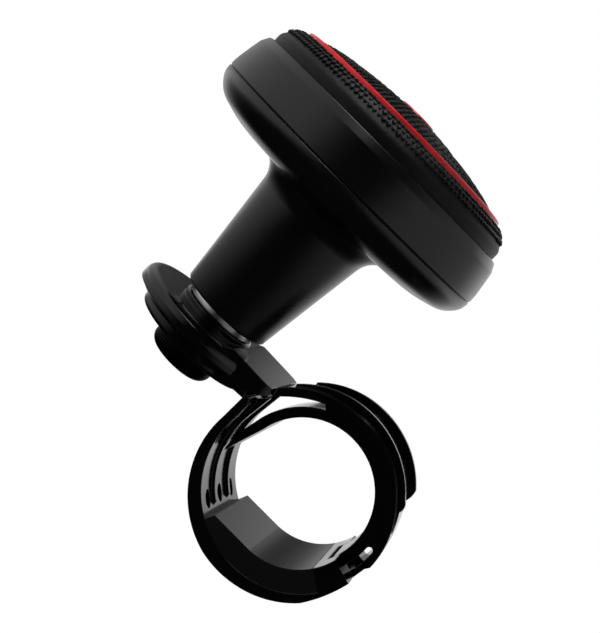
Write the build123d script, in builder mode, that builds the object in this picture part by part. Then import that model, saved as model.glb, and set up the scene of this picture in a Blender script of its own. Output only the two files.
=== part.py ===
from build123d import *
from math import cos, radians, sin
import os

# Steering wheel spinner knob, in millimetres.
# The origin is the centre of the clamp's bore, and the bore's axis is Y.
# +Z runs along the knob's spin axis towards the head.

# Clamp: bore, lining, strap and band
bore_r = 14.5
pad_thickness = 4.7
clamp_width = 26.0
strap_thickness = 1.8
strap_belly = 3.1
band_width = 12.5
band_thickness = 4.3
web_thickness = 1.8
tongue_thickness = 2.2
lip_rise = 1.4
lip_angle = -2.0
rib_height = 2.3
rib_thickness = 1.2
near_rib_inset = 1.2
near_rib_drop = 0.5
far_rib_inset = 0.5
far_rib_drop = -0.35
floor_rise = 0.8
inner_rib_spacing = 10.0
inner_rib_height = 0.7
pocket_length = 3.8
pocket_width = 3.0
pocket_depth = 2.2
pocket_spacing = 8.6
pocket_angle = -128.0
pad_start_angle = -118.0
pad_end_angle = -31.0

# Plates under the knob
knob_x = -38.4
disc_r = 17.9
disc_top_z = 9.5
disc_fillet = 1.8
split_z = 5.2
plate_bottom_z = 2.6
plate_r = 14.3
hub_r = 9.0
hub_height = 1.6
arm_rise = 1.1
arm_width = 25.6
arm_skin = 1.2
crest_x = -18.2
ramp_start_x = -31.5
ramp_end_x = -29.0

# Hinge of the clamp
hinge_r = 17.3
hinge_angle = -20.0
lug_angle = -12.5
knuckle_r = 2.6
hinge_pin_r = 1.1
hinge_pin_length = 23.0
slot_r = 17.7
slot_width = 1.4

# Neck
neck_gap = 3.0
neck_length = 30.0
neck_foot_r = 10.6
neck_waist_r = 12.1
neck_shoulder_r = 13.5
neck_rim_r = 17.2
neck_land_r = 15.0
neck_screw_pitch_r = 11.0

# Head
head_r = 34.1
rim_width = 3.0
bowl_width = 10.6
floor_height = 6.9
upper_shell_height = 9.3
bevel_height = 1.9
bevel_width = 1.1
shell_wall = 2.2
ledge_height = 7.4
flange_thickness = 2.0
flange_width = 9.1
post_inset = 5.1
lip_depth = 1.5
cap_wall = 2.0
cap_side_height = 3.1
leg_wall = 1.6
leg_hook = 0.6
leg_arc = 24
shoulder_width = 4.1
trim_width = 2.2
trim_height = 0.85
trim_top = 15.35
trim_depth = 2.0
dome_top = 18.5
dome_edge = 14.9
dome_floor = 13.2
dome_wall = 1.6
button_r = 4.6
button_rise = 0.75
button_recess = 0.8

# Spindle, bearings and fasteners
shaft_r = 4.0
collar_r = 7.4
collar_height = 2.5
shoulder_r = 5.2
spindle_hex_af = 11.0
spindle_hex_height = 2.2
thread_bore_depth = 20.0
bearing_r = 8.0
bearing_width = 5.0
bearing_mouth = 1.0
land_half_gap = 0.7
ball_r = 1.15
ball_count = 7
cage_half_thickness = 0.45
spacer_length = 15.0
spacer_r = 5.2
nut_af = 12.0
nut_height = 3.4
nut_washer_r = 5.8
nut_washer_thickness = 0.8
small_screw_r = 1.25
small_head_r = 2.6
small_head_height = 1.7
small_screw_length = 9.0
screw_count = 4
screw_r = 2.5
screw_length = 22.0
screw_head_r = 7.6
screw_head_height = 4.7
screw_head_round = 2.4
plate_slot_travel = 1.6
knurl_count = 60
knurl_depth = 0.2
socket_af = 5.0
socket_depth = 3.2
washer_r = 8.1
washer_thickness = 0.6

# Clearances and small edges
running = 0.05
play = 0.15
moving = 0.3
seam = 0.1
rim_gap = 0.25
small_edge = 0.4

os.makedirs("parts", exist_ok=True)

# Heights along the knob's axis
neck_foot_z = disc_top_z + neck_gap
floor_z = neck_foot_z + neck_length
head_z = floor_z + floor_height
lower_bearing_z = neck_foot_z + bearing_mouth
spacer_z = lower_bearing_z + bearing_width
upper_bearing_z = spacer_z + spacer_length
nut_washer_z = upper_bearing_z + bearing_width
nut_z = nut_washer_z + nut_washer_thickness
spindle_top_z = nut_z + nut_height + 2 * small_edge
spindle_foot_z = disc_top_z - spindle_hex_height - running
ledge_z = head_z + ledge_height
pitch_r = (shaft_r + bearing_r) / 2

# Radii of the head, from its rim inwards
cap_r = head_r - rim_width
flat_r = head_r - bowl_width
flange_bore_r = cap_r - flange_width
shell_screw_pitch_r = cap_r - post_inset
trim_outer_r = cap_r - shoulder_width
trim_inner_r = trim_outer_r - trim_width

# Radii round the bore
strap_r = bore_r + pad_thickness
strap_outer_r = strap_r + strap_thickness
strap_low_r = strap_r + strap_belly
band_r = bore_r + band_thickness
tongue_r = bore_r + tongue_thickness
rib_r = band_r + rib_height
lug_r = hinge_r + knuckle_r - small_edge / 2

knob_line = Axis((knob_x, 0, 0), (0, 0, 1))
side_plane = Plane(origin=(0, 0, 0), x_dir=(1, 0, 0), z_dir=(0, -1, 0))


def spoke_plane(angle):
    """An upright plane on the knob's axis: x is the radius at that angle, y is the height."""
    outward = (cos(radians(angle)), sin(radians(angle)), 0)
    return Plane(origin=(knob_x, 0, 0), x_dir=outward, z_dir=(outward[1], -outward[0], 0))


def knob_plane(z):
    """A level plane at the height z, centred on the knob's axis."""
    return Plane(origin=(knob_x, 0, z), x_dir=(1, 0, 0), z_dir=(0, 0, 1))


def polar(radius, angle):
    """A point of the side view at a radius and an angle about the bore."""
    return (radius * cos(radians(angle)), radius * sin(radians(angle)))


def save(name, piece):
    """Label a finished piece and write it as its own file."""
    piece.part.label = name
    export_step(piece.part, f"parts/{name}.step")


turn_plane = spoke_plane(0)
hinge_point = polar(hinge_r, hinge_angle)
arm_top_z = disc_top_z + arm_rise
arm_split_z = split_z + arm_rise

# Upper jaw: the arm comes first, cut from a stepped plate to its outline from above
arm_length = crest_x - knob_x
arm_end_x = crest_x - web_thickness
underside = (
    (ramp_start_x, split_z),
    (ramp_end_x, arm_split_z),
    (arm_end_x - web_thickness, arm_split_z),
    (crest_x + small_edge, disc_top_z - 2 * small_edge),
)
crest = (crest_x - web_thickness, arm_top_z)
crest_foot = (crest_x + 2 * small_edge, disc_top_z - 2 * small_edge)
with BuildPart() as upper_jaw:
    with BuildSketch(side_plane):
        with BuildLine():
            Polyline(
                (knob_x, split_z),
                *underside,
                (crest_x, arm_top_z),
                (ramp_end_x, arm_top_z),
                (ramp_start_x, disc_top_z),
                (knob_x, disc_top_z),
                close=True,
            )
        make_face()
    extrude(amount=disc_r, both=True)
    with BuildSketch(Plane.XY.offset(split_z)) as outline:
        with Locations((knob_x + arm_length / 2 + small_edge, 0)):
            Rectangle(arm_length + 2 * small_edge, arm_width)
        fillet(outline.vertices().group_by(Axis.X)[-1], radius=arm_width / 8)
    extrude(amount=2 * disc_top_z, mode=Mode.INTERSECT)
    # The disc has a rounded top edge, and a hub stands on it
    with BuildSketch(turn_plane):
        with BuildLine():
            Polyline(
                (disc_r - disc_fillet, disc_top_z),
                (hub_r, disc_top_z),
                (hub_r, disc_top_z + hub_height - small_edge),
                (hub_r - small_edge, disc_top_z + hub_height),
                (0, disc_top_z + hub_height),
                (0, split_z),
                (disc_r - disc_r / 9, split_z),
                (disc_r, split_z + (disc_top_z - split_z) / 4),
                (disc_r, disc_top_z - disc_fillet),
            )
            RadiusArc((disc_r, disc_top_z - disc_fillet), (disc_r - disc_fillet, disc_top_z), -disc_fillet)
        make_face()
    revolve(axis=knob_line)
    # The underside steps up where the lower jaw's arm passes
    with BuildSketch(side_plane):
        with BuildLine():
            Polyline(
                (ramp_start_x, split_z - 1),
                *underside,
                (crest_x + small_edge, split_z - 1),
                close=True,
            )
        make_face()
    extrude(amount=disc_r, both=True, mode=Mode.SUBTRACT)
    # The band, the tongue under it and the hinge knuckle, in one side view
    with BuildSketch(side_plane) as jaw_side:
        with BuildLine():
            band_start = polar(band_r, 97)
            band_end = polar(band_r, 40)
            band_lip = polar(band_r + lip_rise, lip_angle)
            band_step = polar(band_r + lip_rise - seam * 5, lip_angle - 3)
            hip = polar(hinge_r + knuckle_r, hinge_angle + 5)
            tongue_root = polar(tongue_r, 120)
            tongue_heel = polar(tongue_r, 167)
            tongue_tip = polar(tongue_r + lip_rise, 201)
            window_end = polar(tongue_r + 1.1, 121)
            Line(crest, (crest_x, arm_top_z))
            Spline(
                (crest_x, arm_top_z),
                polar(band_r + web_thickness / 3, 116),
                band_start,
                tangents=((0.62, 0.78), (sin(radians(97)), -cos(radians(97)))),
            )
            ThreePointArc(band_start, polar(band_r, 70), band_end)
            ThreePointArc(band_end, polar(band_r + floor_rise, 17), band_lip)
            Polyline(band_lip, band_step, hip, hinge_point, polar(bore_r, hinge_angle + 1))
            ThreePointArc(polar(bore_r, hinge_angle + 1), polar(bore_r, 80), polar(bore_r, 170))
            ThreePointArc(polar(bore_r, 170), polar(bore_r + 1.2, 187), tongue_tip)
            Polyline(tongue_tip, polar(tongue_r + 1.3, 198), polar(tongue_r + 0.7, 186), tongue_heel)
            ThreePointArc(tongue_heel, polar(tongue_r, 140), tongue_root)
            Line(tongue_root, window_end)
            Spline(window_end, polar(band_r - web_thickness / 3, 133), crest_foot)
            Polyline(crest_foot, (arm_end_x - small_edge, arm_split_z + small_edge), crest)
        make_face()
        with Locations(hinge_point):
            Circle(knuckle_r)
            Circle(hinge_pin_r + running, mode=Mode.SUBTRACT)
        SlotArc(CenterArc((0, 0), slot_r, -5, 24), slot_width, mode=Mode.SUBTRACT)
    extrude(amount=band_width / 2, both=True)
    # Two blades stand on the band, the near one lower, with a raised floor between them
    near_rib_y = band_width / 2 - near_rib_inset
    far_rib_y = band_width / 2 - far_rib_inset
    for face_y, drop, start_angle, end_angle in (
        (near_rib_y, near_rib_drop, 140, 41),
        (rib_thickness - far_rib_y, far_rib_drop, 133.5, 43),
    ):
        with BuildSketch(side_plane.offset(face_y)):
            with BuildLine():
                blade_foot = polar(band_r + floor_rise, start_angle + 3)
                blade_start = polar(rib_r + drop / 4, start_angle)
                blade_end = polar(rib_r - 1.3 * drop, end_angle)
                blade_toe = polar(band_r, end_angle - 8)
                Line(blade_foot, blade_start)
                ThreePointArc(blade_start, polar(rib_r - drop, 90), blade_end)
                ThreePointArc(blade_end, polar(rib_r - 2 * small_edge, end_angle - 5), blade_toe)
                Line(blade_toe, polar(band_r - web_thickness / 2, end_angle - 7))
                ThreePointArc(
                    polar(band_r - web_thickness / 2, end_angle - 7),
                    polar(band_r - web_thickness / 2, 70),
                    polar(band_r - web_thickness / 3, 112),
                )
                Line(polar(band_r - web_thickness / 3, 112), blade_foot)
            make_face()
        extrude(amount=-rib_thickness)
    with BuildSketch(side_plane.offset(near_rib_y - rib_thickness / 2)):
        with BuildLine():
            floor_r = band_r + floor_rise
            sunk_r = band_r - small_edge
            ThreePointArc(polar(floor_r, 126), polar(floor_r, 75), polar(floor_r, 20))
            Line(polar(floor_r, 20), polar(sunk_r, 30))
            ThreePointArc(polar(sunk_r, 30), polar(sunk_r, 70), polar(sunk_r, 112))
            Line(polar(sunk_r, 112), polar(floor_r, 126))
        make_face()
    extrude(amount=-(near_rib_y + far_rib_y - 1.5 * rib_thickness))
    # The round seat of the spindle's collar, the hexagon under it and the screw's hole
    with BuildSketch(knob_plane(disc_top_z)):
        Circle(collar_r + seam)
    extrude(amount=2 * hub_height, mode=Mode.SUBTRACT)
    with BuildSketch(knob_plane(disc_top_z)):
        RegularPolygon(spindle_hex_af / 2 + running, 6, major_radius=False)
    extrude(amount=-(spindle_hex_height + running), mode=Mode.SUBTRACT)
    with Locations((knob_x, 0, split_z)):
        Cylinder(screw_r + moving, 4 * disc_top_z, mode=Mode.SUBTRACT)
save("upper_jaw", upper_jaw)

# Lower jaw: plate, bend, strap and the two outer hinge lugs
rib_root_r = strap_r + 0.45 * strap_thickness
rib_top_r = strap_r - inner_rib_height
plate_top_z = split_z - seam
bend_top_z = arm_split_z - seam
knuckle_half_gap = band_width / 2 + moving
with BuildPart() as lower_jaw:
    with BuildSketch(knob_plane(plate_bottom_z)):
        Circle(plate_r)
    extrude(amount=plate_top_z - plate_bottom_z)
    fillet(lower_jaw.faces().sort_by(Axis.Z)[0].edges(), radius=2 * small_edge)
    with BuildSketch(side_plane):
        with BuildLine():
            Polyline(
                (ramp_start_x - 3, plate_top_z - arm_skin),
                (ramp_start_x, plate_top_z - arm_skin),
                (ramp_end_x, bend_top_z - 1.4 * arm_skin),
                (-strap_outer_r + small_edge, bend_top_z - 0.8 * arm_skin),
                (-strap_outer_r + small_edge, bend_top_z),
                (ramp_end_x, bend_top_z),
                (ramp_start_x, plate_top_z),
                (ramp_start_x - 3, plate_top_z),
                close=True,
            )
        make_face()
    extrude(amount=arm_width / 2, both=True)
    # The strap, from the bend to the hinge
    with BuildSketch(side_plane) as strap_side:
        with BuildLine():
            strap_low = polar(strap_low_r, -102)
            strap_heel = polar(strap_outer_r, -42)
            lug_tip = polar(lug_r, lug_angle)
            Line((-strap_outer_r, bend_top_z), (-strap_outer_r, 0))
            ThreePointArc((-strap_outer_r, 0), polar(strap_low_r - small_edge, -140), strap_low)
            ThreePointArc(strap_low, polar(strap_low_r - 1.6 * small_edge, -70), strap_heel)
            ThreePointArc(strap_heel, polar(lug_r + small_edge, -27), lug_tip)
            Line(lug_tip, polar(bore_r, lug_angle))
            ThreePointArc(
                polar(bore_r, lug_angle),
                polar(bore_r, (lug_angle + pad_end_angle) / 2),
                polar(bore_r, pad_end_angle),
            )
            Line(polar(bore_r, pad_end_angle), polar(strap_r, pad_end_angle))
            ThreePointArc(polar(strap_r, pad_end_angle), polar(strap_r, -100), polar(strap_r, 176))
            Polyline(
                polar(strap_r, 176),
                (-strap_r, bend_top_z - 3 * small_edge),
                (-strap_r - 2 * small_edge, bend_top_z),
                (-strap_outer_r, bend_top_z),
            )
        make_face()
    extrude(amount=clamp_width / 2, both=True)
    # Room for the middle knuckle between the two lugs
    with BuildSketch(side_plane):
        with Locations(hinge_point):
            Circle(knuckle_r + moving)
        with BuildLine():
            Polyline(
                hinge_point,
                polar(bore_r - 1, hinge_angle - 4),
                polar(bore_r - 1, lug_angle + 10),
                polar(lug_r + 3, lug_angle + 10),
                polar(lug_r + 3, hinge_angle - 6),
                close=True,
            )
        make_face()
    extrude(amount=knuckle_half_gap, both=True, mode=Mode.SUBTRACT)
    # The pin's bore stays blind on the near side
    with BuildSketch(side_plane.offset(-clamp_width / 2)):
        with Locations(hinge_point):
            Circle(hinge_pin_r + running)
    extrude(amount=hinge_pin_length + play, mode=Mode.SUBTRACT)
    # Two low ribs run down the inside of the strap
    for side in (-1, 1):
        with BuildSketch(side_plane.offset(side * inner_rib_spacing / 2)):
            with BuildLine():
                ThreePointArc(polar(rib_root_r, 174), polar(rib_root_r, -160), polar(rib_root_r, -121))
                Line(polar(rib_root_r, -121), polar(rib_top_r, -125))
                ThreePointArc(polar(rib_top_r, -125), polar(rib_top_r, -160), polar(rib_top_r, 172))
                Polyline(
                    polar(rib_top_r, 172),
                    (crest_x + small_edge, bend_top_z + 4 * small_edge),
                    (-strap_r - small_edge, bend_top_z - small_edge),
                    polar(rib_root_r, 174),
                )
            make_face()
        extrude(amount=rib_thickness / 2, both=True)
    # Three blind pockets near the pad's end
    for y in (-pocket_spacing, 0, pocket_spacing):
        pocket_x, pocket_z = polar(strap_r - 1, pocket_angle)
        pocket_plane = Plane(
            origin=(pocket_x, y, pocket_z),
            x_dir=(-sin(radians(pocket_angle)), 0, cos(radians(pocket_angle))),
            z_dir=(cos(radians(pocket_angle)), 0, sin(radians(pocket_angle))),
        )
        with BuildSketch(pocket_plane):
            Ellipse(pocket_length / 2, pocket_width / 2)
        extrude(amount=pocket_depth, mode=Mode.SUBTRACT)
    # The clamp screw's slotted hole lets the plate swing
    with BuildSketch(knob_plane(0)):
        SlotCenterToCenter(plate_slot_travel, 2 * (screw_r + small_edge))
    extrude(amount=disc_top_z, mode=Mode.SUBTRACT)
save("lower_jaw", lower_jaw)

# Rubber lining of the lower jaw: it ends in a step on the left
with BuildPart() as rim_pad:
    with BuildSketch(side_plane):
        with BuildLine():
            back_r = strap_r - running
            back_end = polar(back_r, pad_end_angle - 0.5)
            front_end = polar(bore_r, pad_end_angle - 0.5)
            lip_start = polar(bore_r, -84)
            lip_end = (polar(back_r, pad_start_angle)[0] + 2 * small_edge, -bore_r - small_edge)
            ThreePointArc(polar(back_r, pad_start_angle), polar(back_r, -70), back_end)
            Line(back_end, front_end)
            ThreePointArc(front_end, polar(bore_r, -50), lip_start)
            Polyline(lip_start, lip_end, polar(back_r, pad_start_angle))
        make_face()
    extrude(amount=clamp_width / 2, both=True)
save("rim_pad", rim_pad)

# Steel pin through the two lugs and the knuckle
with BuildPart() as hinge_pin:
    with BuildSketch(side_plane.offset(-clamp_width / 2)):
        with Locations(hinge_point):
            Circle(hinge_pin_r)
    extrude(amount=hinge_pin_length)
    chamfer(hinge_pin.edges().filter_by(GeomType.CIRCLE), length=small_edge / 2)
save("hinge_pin", hinge_pin)

# Spindle: a hexagonal foot, a polished collar, the shaft and its shoulder
collar_top_z = disc_top_z + collar_height
with BuildPart() as spindle:
    with BuildSketch(knob_plane(spindle_foot_z)):
        RegularPolygon(spindle_hex_af / 2, 6, major_radius=False)
    extrude(amount=spindle_hex_height + running)
    with BuildSketch(turn_plane):
        with BuildLine():
            Polyline(
                (0, spindle_foot_z),
                (shaft_r, spindle_foot_z),
                (shaft_r, disc_top_z),
                (collar_r, disc_top_z),
                (collar_r, collar_top_z),
                (shoulder_r, collar_top_z),
                (shoulder_r, lower_bearing_z),
                (shaft_r, lower_bearing_z),
                (shaft_r, spindle_top_z - small_edge),
                (shaft_r - small_edge, spindle_top_z),
                (0, spindle_top_z),
                close=True,
            )
        make_face()
    revolve(axis=knob_line)
    with BuildSketch(knob_plane(spindle_foot_z)):
        Circle(screw_r + running)
    extrude(amount=thread_bore_depth, mode=Mode.SUBTRACT)
save("spindle", spindle)


def make_bearing(name, z):
    """A deep-groove ball bearing: two races, the balls and the cage between them."""
    mid_z = z + bearing_width / 2
    groove_r = ball_r + play
    inner_r = shaft_r + running
    with BuildPart() as inner_race:
        with BuildSketch(turn_plane):
            with Locations(((inner_r + pitch_r - land_half_gap) / 2, mid_z)):
                Rectangle(pitch_r - land_half_gap - inner_r, bearing_width)
            with Locations((pitch_r, mid_z)):
                Circle(groove_r, mode=Mode.SUBTRACT)
        revolve(axis=knob_line)
    save(f"{name}_inner_race", inner_race)
    with BuildPart() as outer_race:
        with BuildSketch(turn_plane):
            with Locations(((bearing_r + pitch_r + land_half_gap) / 2, mid_z)):
                Rectangle(bearing_r - pitch_r - land_half_gap, bearing_width)
            with Locations((pitch_r, mid_z)):
                Circle(groove_r, mode=Mode.SUBTRACT)
        revolve(axis=knob_line)
    save(f"{name}_outer_race", outer_race)
    with BuildPart() as balls:
        with Locations((knob_x, 0, mid_z)):
            with PolarLocations(pitch_r, ball_count):
                Sphere(ball_r)
    save(f"{name}_balls", balls)
    with BuildPart() as cage:
        with BuildSketch(knob_plane(mid_z - groove_r - small_edge)):
            Circle(pitch_r + cage_half_thickness)
            Circle(pitch_r - cage_half_thickness, mode=Mode.SUBTRACT)
        extrude(amount=2 * (groove_r + small_edge))
        with Locations((knob_x, 0, mid_z)):
            with PolarLocations(pitch_r, ball_count):
                Cylinder(groove_r, 4 * cage_half_thickness, rotation=(0, 90, 0), mode=Mode.SUBTRACT)
    save(f"{name}_cage", cage)


make_bearing("lower", lower_bearing_z)
make_bearing("upper", upper_bearing_z)

# Tube between the inner races
with BuildPart() as bearing_spacer:
    with BuildSketch(knob_plane(spacer_z)):
        Circle(spacer_r)
        Circle(shaft_r + running, mode=Mode.SUBTRACT)
    extrude(amount=spacer_length)
save("bearing_spacer", bearing_spacer)

# Washer and nut on top of the upper bearing
with BuildPart() as nut_washer:
    with BuildSketch(knob_plane(nut_washer_z)):
        Circle(nut_washer_r)
        Circle(shaft_r + running, mode=Mode.SUBTRACT)
    extrude(amount=nut_washer_thickness)
save("nut_washer", nut_washer)

with BuildPart() as spindle_nut:
    with BuildSketch(knob_plane(nut_z)):
        RegularPolygon(nut_af / 2, 6, major_radius=False)
        Circle(shaft_r + running, mode=Mode.SUBTRACT)
    extrude(amount=nut_height)
save("spindle_nut", spindle_nut)

# Clamp screw: knurled head with a rounded lower edge, plain shank and a hexagonal socket below
head_top_z = plate_bottom_z - washer_thickness
head_bottom_z = head_top_z - screw_head_height
with BuildPart() as clamp_screw:
    with BuildSketch(turn_plane):
        with BuildLine():
            round_top = (screw_head_r, head_bottom_z + screw_head_round)
            round_end = (screw_head_r - screw_head_round, head_bottom_z)
            Polyline(
                (0, head_top_z),
                (screw_head_r - small_edge, head_top_z),
                (screw_head_r, head_top_z - small_edge),
                round_top,
            )
            RadiusArc(round_top, round_end, screw_head_round)
            Polyline(round_end, (0, head_bottom_z), (0, head_top_z))
        make_face()
    revolve(axis=knob_line)
    with BuildSketch(knob_plane(head_bottom_z)):
        with PolarLocations(screw_head_r + small_edge / 2, knurl_count):
            RegularPolygon(knurl_depth + small_edge / 2, 4)
    extrude(amount=screw_head_height, mode=Mode.SUBTRACT)
    with BuildSketch(knob_plane(head_bottom_z)):
        RegularPolygon(socket_af / 2, 6, major_radius=False)
    extrude(amount=socket_depth, mode=Mode.SUBTRACT)
    with BuildSketch(knob_plane(head_top_z)):
        Circle(screw_r)
    extrude(amount=screw_length)
    chamfer(clamp_screw.edges().group_by(Axis.Z)[-1], length=small_edge)
save("clamp_screw", clamp_screw)

with BuildPart() as clamp_washer:
    with BuildSketch(knob_plane(head_top_z)):
        Circle(washer_r)
        Circle(screw_r + play, mode=Mode.SUBTRACT)
    extrude(amount=washer_thickness)
save("clamp_washer", clamp_washer)

# Neck: a trumpet sleeve with a bearing seat at each end
neck_rim_z = floor_z - rim_gap
with BuildPart() as neck:
    with BuildSketch(turn_plane):
        with BuildLine():
            Line((neck_foot_r - small_edge, neck_foot_z), (neck_foot_r, neck_foot_z + small_edge))
            stem = ThreePointArc(
                (neck_foot_r, neck_foot_z + small_edge),
                (neck_waist_r, neck_foot_z + 0.45 * neck_length),
                (neck_shoulder_r, neck_foot_z + 0.84 * neck_length),
            )
            TangentArc(stem @ 1, (neck_rim_r, neck_rim_z), tangent=stem % 1)
            Polyline(
                (neck_rim_r, neck_rim_z),
                (neck_land_r, neck_rim_z),
                (neck_land_r, floor_z),
                (bearing_r + 1, floor_z),
                (bearing_r + 1, upper_bearing_z + bearing_width),
                (bearing_r + running, upper_bearing_z + bearing_width),
                (bearing_r + running, upper_bearing_z),
                (spacer_r + 1, upper_bearing_z),
                (spacer_r + 1, spacer_z),
                (bearing_r + running, spacer_z),
                (bearing_r + running, neck_foot_z),
                (neck_foot_r - small_edge, neck_foot_z),
            )
        make_face()
    revolve(axis=knob_line)
    with BuildSketch(knob_plane(floor_z)):
        with PolarLocations(neck_screw_pitch_r, screw_count):
            Circle(small_screw_r + running)
    extrude(amount=-small_screw_length, mode=Mode.SUBTRACT)
save("neck", neck)

# Lower shell: a shallow bowl with posts for the upper shell's screws
shell_floor_z = floor_z + shell_wall
flange_z = ledge_z - flange_thickness
shell_bore_r = bearing_r + 1.5
with BuildPart() as lower_shell:
    with BuildSketch(turn_plane):
        with BuildLine():
            Line((shell_bore_r, floor_z), (flat_r, floor_z))
            Spline(
                (flat_r, floor_z),
                (head_r - 0.51 * bowl_width, floor_z + 0.14 * floor_height),
                (head_r - 0.24 * bowl_width, floor_z + 0.31 * floor_height),
                (head_r - 0.075 * bowl_width, floor_z + 0.57 * floor_height),
                (head_r, head_z - rim_gap),
                tangents=((1, 0), (0, 1)),
            )
            Polyline(
                (head_r, head_z - rim_gap),
                (head_r - rim_gap, head_z),
                (head_r - shell_wall, head_z),
                (head_r - 1.2 * shell_wall, head_z - 1.2 * shell_wall),
                (flat_r + 1.8 * shell_wall, shell_floor_z + small_edge),
                (flat_r, shell_floor_z),
                (shell_bore_r, shell_floor_z),
                (shell_bore_r, floor_z),
            )
        make_face()
    revolve(axis=knob_line)
    with BuildSketch(knob_plane(shell_floor_z - small_edge)):
        with PolarLocations(shell_screw_pitch_r, screw_count, start_angle=45):
            Circle(2.4 * small_screw_r)
    extrude(amount=flange_z - shell_floor_z + small_edge)
    with BuildSketch(knob_plane(flange_z)):
        with PolarLocations(shell_screw_pitch_r, screw_count, start_angle=45):
            Circle(small_screw_r + running)
    extrude(amount=-small_screw_length, mode=Mode.SUBTRACT)
    with BuildSketch(knob_plane(floor_z)):
        with PolarLocations(neck_screw_pitch_r, screw_count):
            Circle(small_screw_r + play)
    extrude(amount=shell_wall, mode=Mode.SUBTRACT)
save("lower_shell", lower_shell)

# Upper shell: a tapered ring with a bevelled rim, and a flange inside that carries the cap
inner_wall_r = head_r - shell_wall - moving
bevel_r = head_r - bevel_width
rim_z = head_z + upper_shell_height
with BuildPart() as upper_shell:
    with BuildSketch(turn_plane):
        with BuildLine():
            Line((head_r - rim_gap, head_z), (head_r, head_z + rim_gap))
            Spline(
                (head_r, head_z + rim_gap),
                (head_r - 0.36 * bevel_width, head_z + 0.4 * upper_shell_height),
                (bevel_r, rim_z - bevel_height),
                tangents=((0, 1), (-0.22, 1)),
            )
            Polyline(
                (bevel_r, rim_z - bevel_height),
                (head_r - 2 * rim_width / 3, rim_z - rim_gap),
                (cap_r + rim_gap, rim_z),
                (cap_r + rim_gap, ledge_z),
                (flange_bore_r, ledge_z),
                (flange_bore_r, flange_z),
                (inner_wall_r - 1, flange_z),
                (inner_wall_r - 1, head_z - lip_depth),
                (inner_wall_r, head_z - lip_depth),
                (inner_wall_r, head_z),
                (head_r - rim_gap, head_z),
            )
        make_face()
    revolve(axis=knob_line)
    with BuildSketch(knob_plane(flange_z)):
        with PolarLocations(shell_screw_pitch_r, screw_count, start_angle=45):
            Circle(small_screw_r + play)
    extrude(amount=flange_thickness, mode=Mode.SUBTRACT)
save("upper_shell", upper_shell)


def make_screws(name, pitch, start_angle, seat_z):
    """Four pan-head screws whose heads sit at seat_z."""
    with BuildPart() as screws:
        with BuildSketch(knob_plane(seat_z)):
            with PolarLocations(pitch, screw_count, start_angle=start_angle):
                Circle(small_screw_r)
        extrude(amount=-small_screw_length)
        with BuildSketch(knob_plane(seat_z)):
            with PolarLocations(pitch, screw_count, start_angle=start_angle):
                Circle(small_head_r)
        extrude(amount=small_head_height)
    save(name, screws)


make_screws("neck_screws", neck_screw_pitch_r, 0, shell_floor_z)
make_screws("shell_screws", shell_screw_pitch_r, 45, ledge_z)

# Grip cap: the shoulder of the head, with a groove for the trim ring and a seat for the dome
ring_top_z = head_z + trim_top
cap_edge_z = ring_top_z - trim_height
groove_z = ring_top_z - trim_depth
dome_floor_z = head_z + dome_floor
cap_ceiling_z = dome_floor_z - cap_wall
shoulder_z = ledge_z + cap_side_height
shoulder_rise = cap_edge_z - shoulder_z
leg_r = flange_bore_r - play
with BuildPart() as grip_cap:
    with BuildSketch(turn_plane):
        with BuildLine():
            Line((cap_r, ledge_z), (cap_r, shoulder_z))
            Spline(
                (cap_r, shoulder_z),
                (cap_r - 0.17 * shoulder_width, shoulder_z + 0.4 * shoulder_rise),
                (cap_r - 0.46 * shoulder_width, shoulder_z + 0.75 * shoulder_rise),
                (trim_outer_r, cap_edge_z),
                tangents=((0, 1), (-1, 0.3)),
            )
            Polyline(
                (trim_outer_r, cap_edge_z),
                (trim_outer_r, groove_z),
                (trim_inner_r, groove_z),
                (trim_inner_r, dome_floor_z),
                (0, dome_floor_z),
                (0, cap_ceiling_z),
                (cap_r - 2 * cap_wall, cap_ceiling_z),
                (cap_r - cap_wall, cap_ceiling_z - cap_wall),
                (cap_r - cap_wall, ledge_z),
                (cap_r, ledge_z),
            )
        make_face()
    revolve(axis=knob_line)
    # Four legs snap under the upper shell's flange
    for quarter in range(4):
        with BuildSketch(spoke_plane(90 * quarter + 45 - leg_arc / 2)):
            with BuildLine():
                Polyline(
                    (leg_r - leg_wall, cap_ceiling_z + small_edge),
                    (leg_r - leg_wall, flange_z - 3 * leg_hook),
                    (leg_r, flange_z - 3 * leg_hook),
                    (leg_r + leg_hook, flange_z - leg_hook),
                    (leg_r + leg_hook, flange_z - running),
                    (leg_r, flange_z - running),
                    (leg_r, cap_ceiling_z + small_edge),
                    close=True,
                )
            make_face()
        revolve(axis=knob_line, revolution_arc=leg_arc)
save("grip_cap", grip_cap)

# Trim ring between the shoulder and the dome
ring_outer_r = trim_outer_r - running
with BuildPart() as trim_ring:
    with BuildSketch(turn_plane):
        with BuildLine():
            Polyline(
                (trim_inner_r, ring_top_z - rim_gap),
                (trim_inner_r, groove_z),
                (ring_outer_r, groove_z),
                (ring_outer_r, ring_top_z - rim_gap),
            )
            ThreePointArc(
                (ring_outer_r, ring_top_z - rim_gap),
                ((trim_inner_r + ring_outer_r) / 2, ring_top_z),
                (trim_inner_r, ring_top_z - rim_gap),
            )
        make_face()
    revolve(axis=knob_line)
save("trim_ring", trim_ring)

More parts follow.
